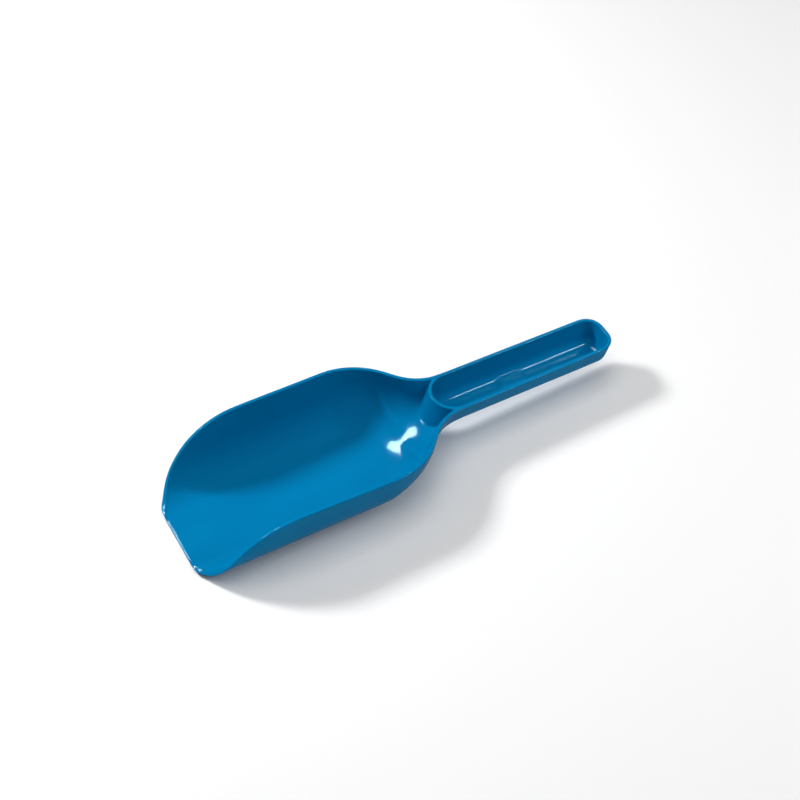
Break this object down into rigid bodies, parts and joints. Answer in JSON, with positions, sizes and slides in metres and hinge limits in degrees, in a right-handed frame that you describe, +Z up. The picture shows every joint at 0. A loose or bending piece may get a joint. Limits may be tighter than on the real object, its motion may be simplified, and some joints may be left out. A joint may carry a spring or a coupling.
{
  "type": "beach sand scoop",
  "caption": "Flat-bottomed toy sand scoop in thin glossy plastic, with an open front, rounded shoulders and an open trough handle behind a D-shaped web.",
  "frame": {"origin": "on the surface that the bowl rests on, under the middle of the scoop's length and width", "axes": "+Y from the lip to the end of the handle, +Z up out of the open bowl, +X across; the scoop is the same on both sides of X = 0"},
  "size_m": [0.0786, 0.24, 0.0326],
  "materials": {
    "plastic": "glossy blue polypropylene"
  },
  "bodies": {
    "root": {"bowl": "plastic", "shoulder": "plastic", "neck_web": "plastic", "handle": "plastic", "handle_pad": "plastic"}
  },
  "joints": []
}
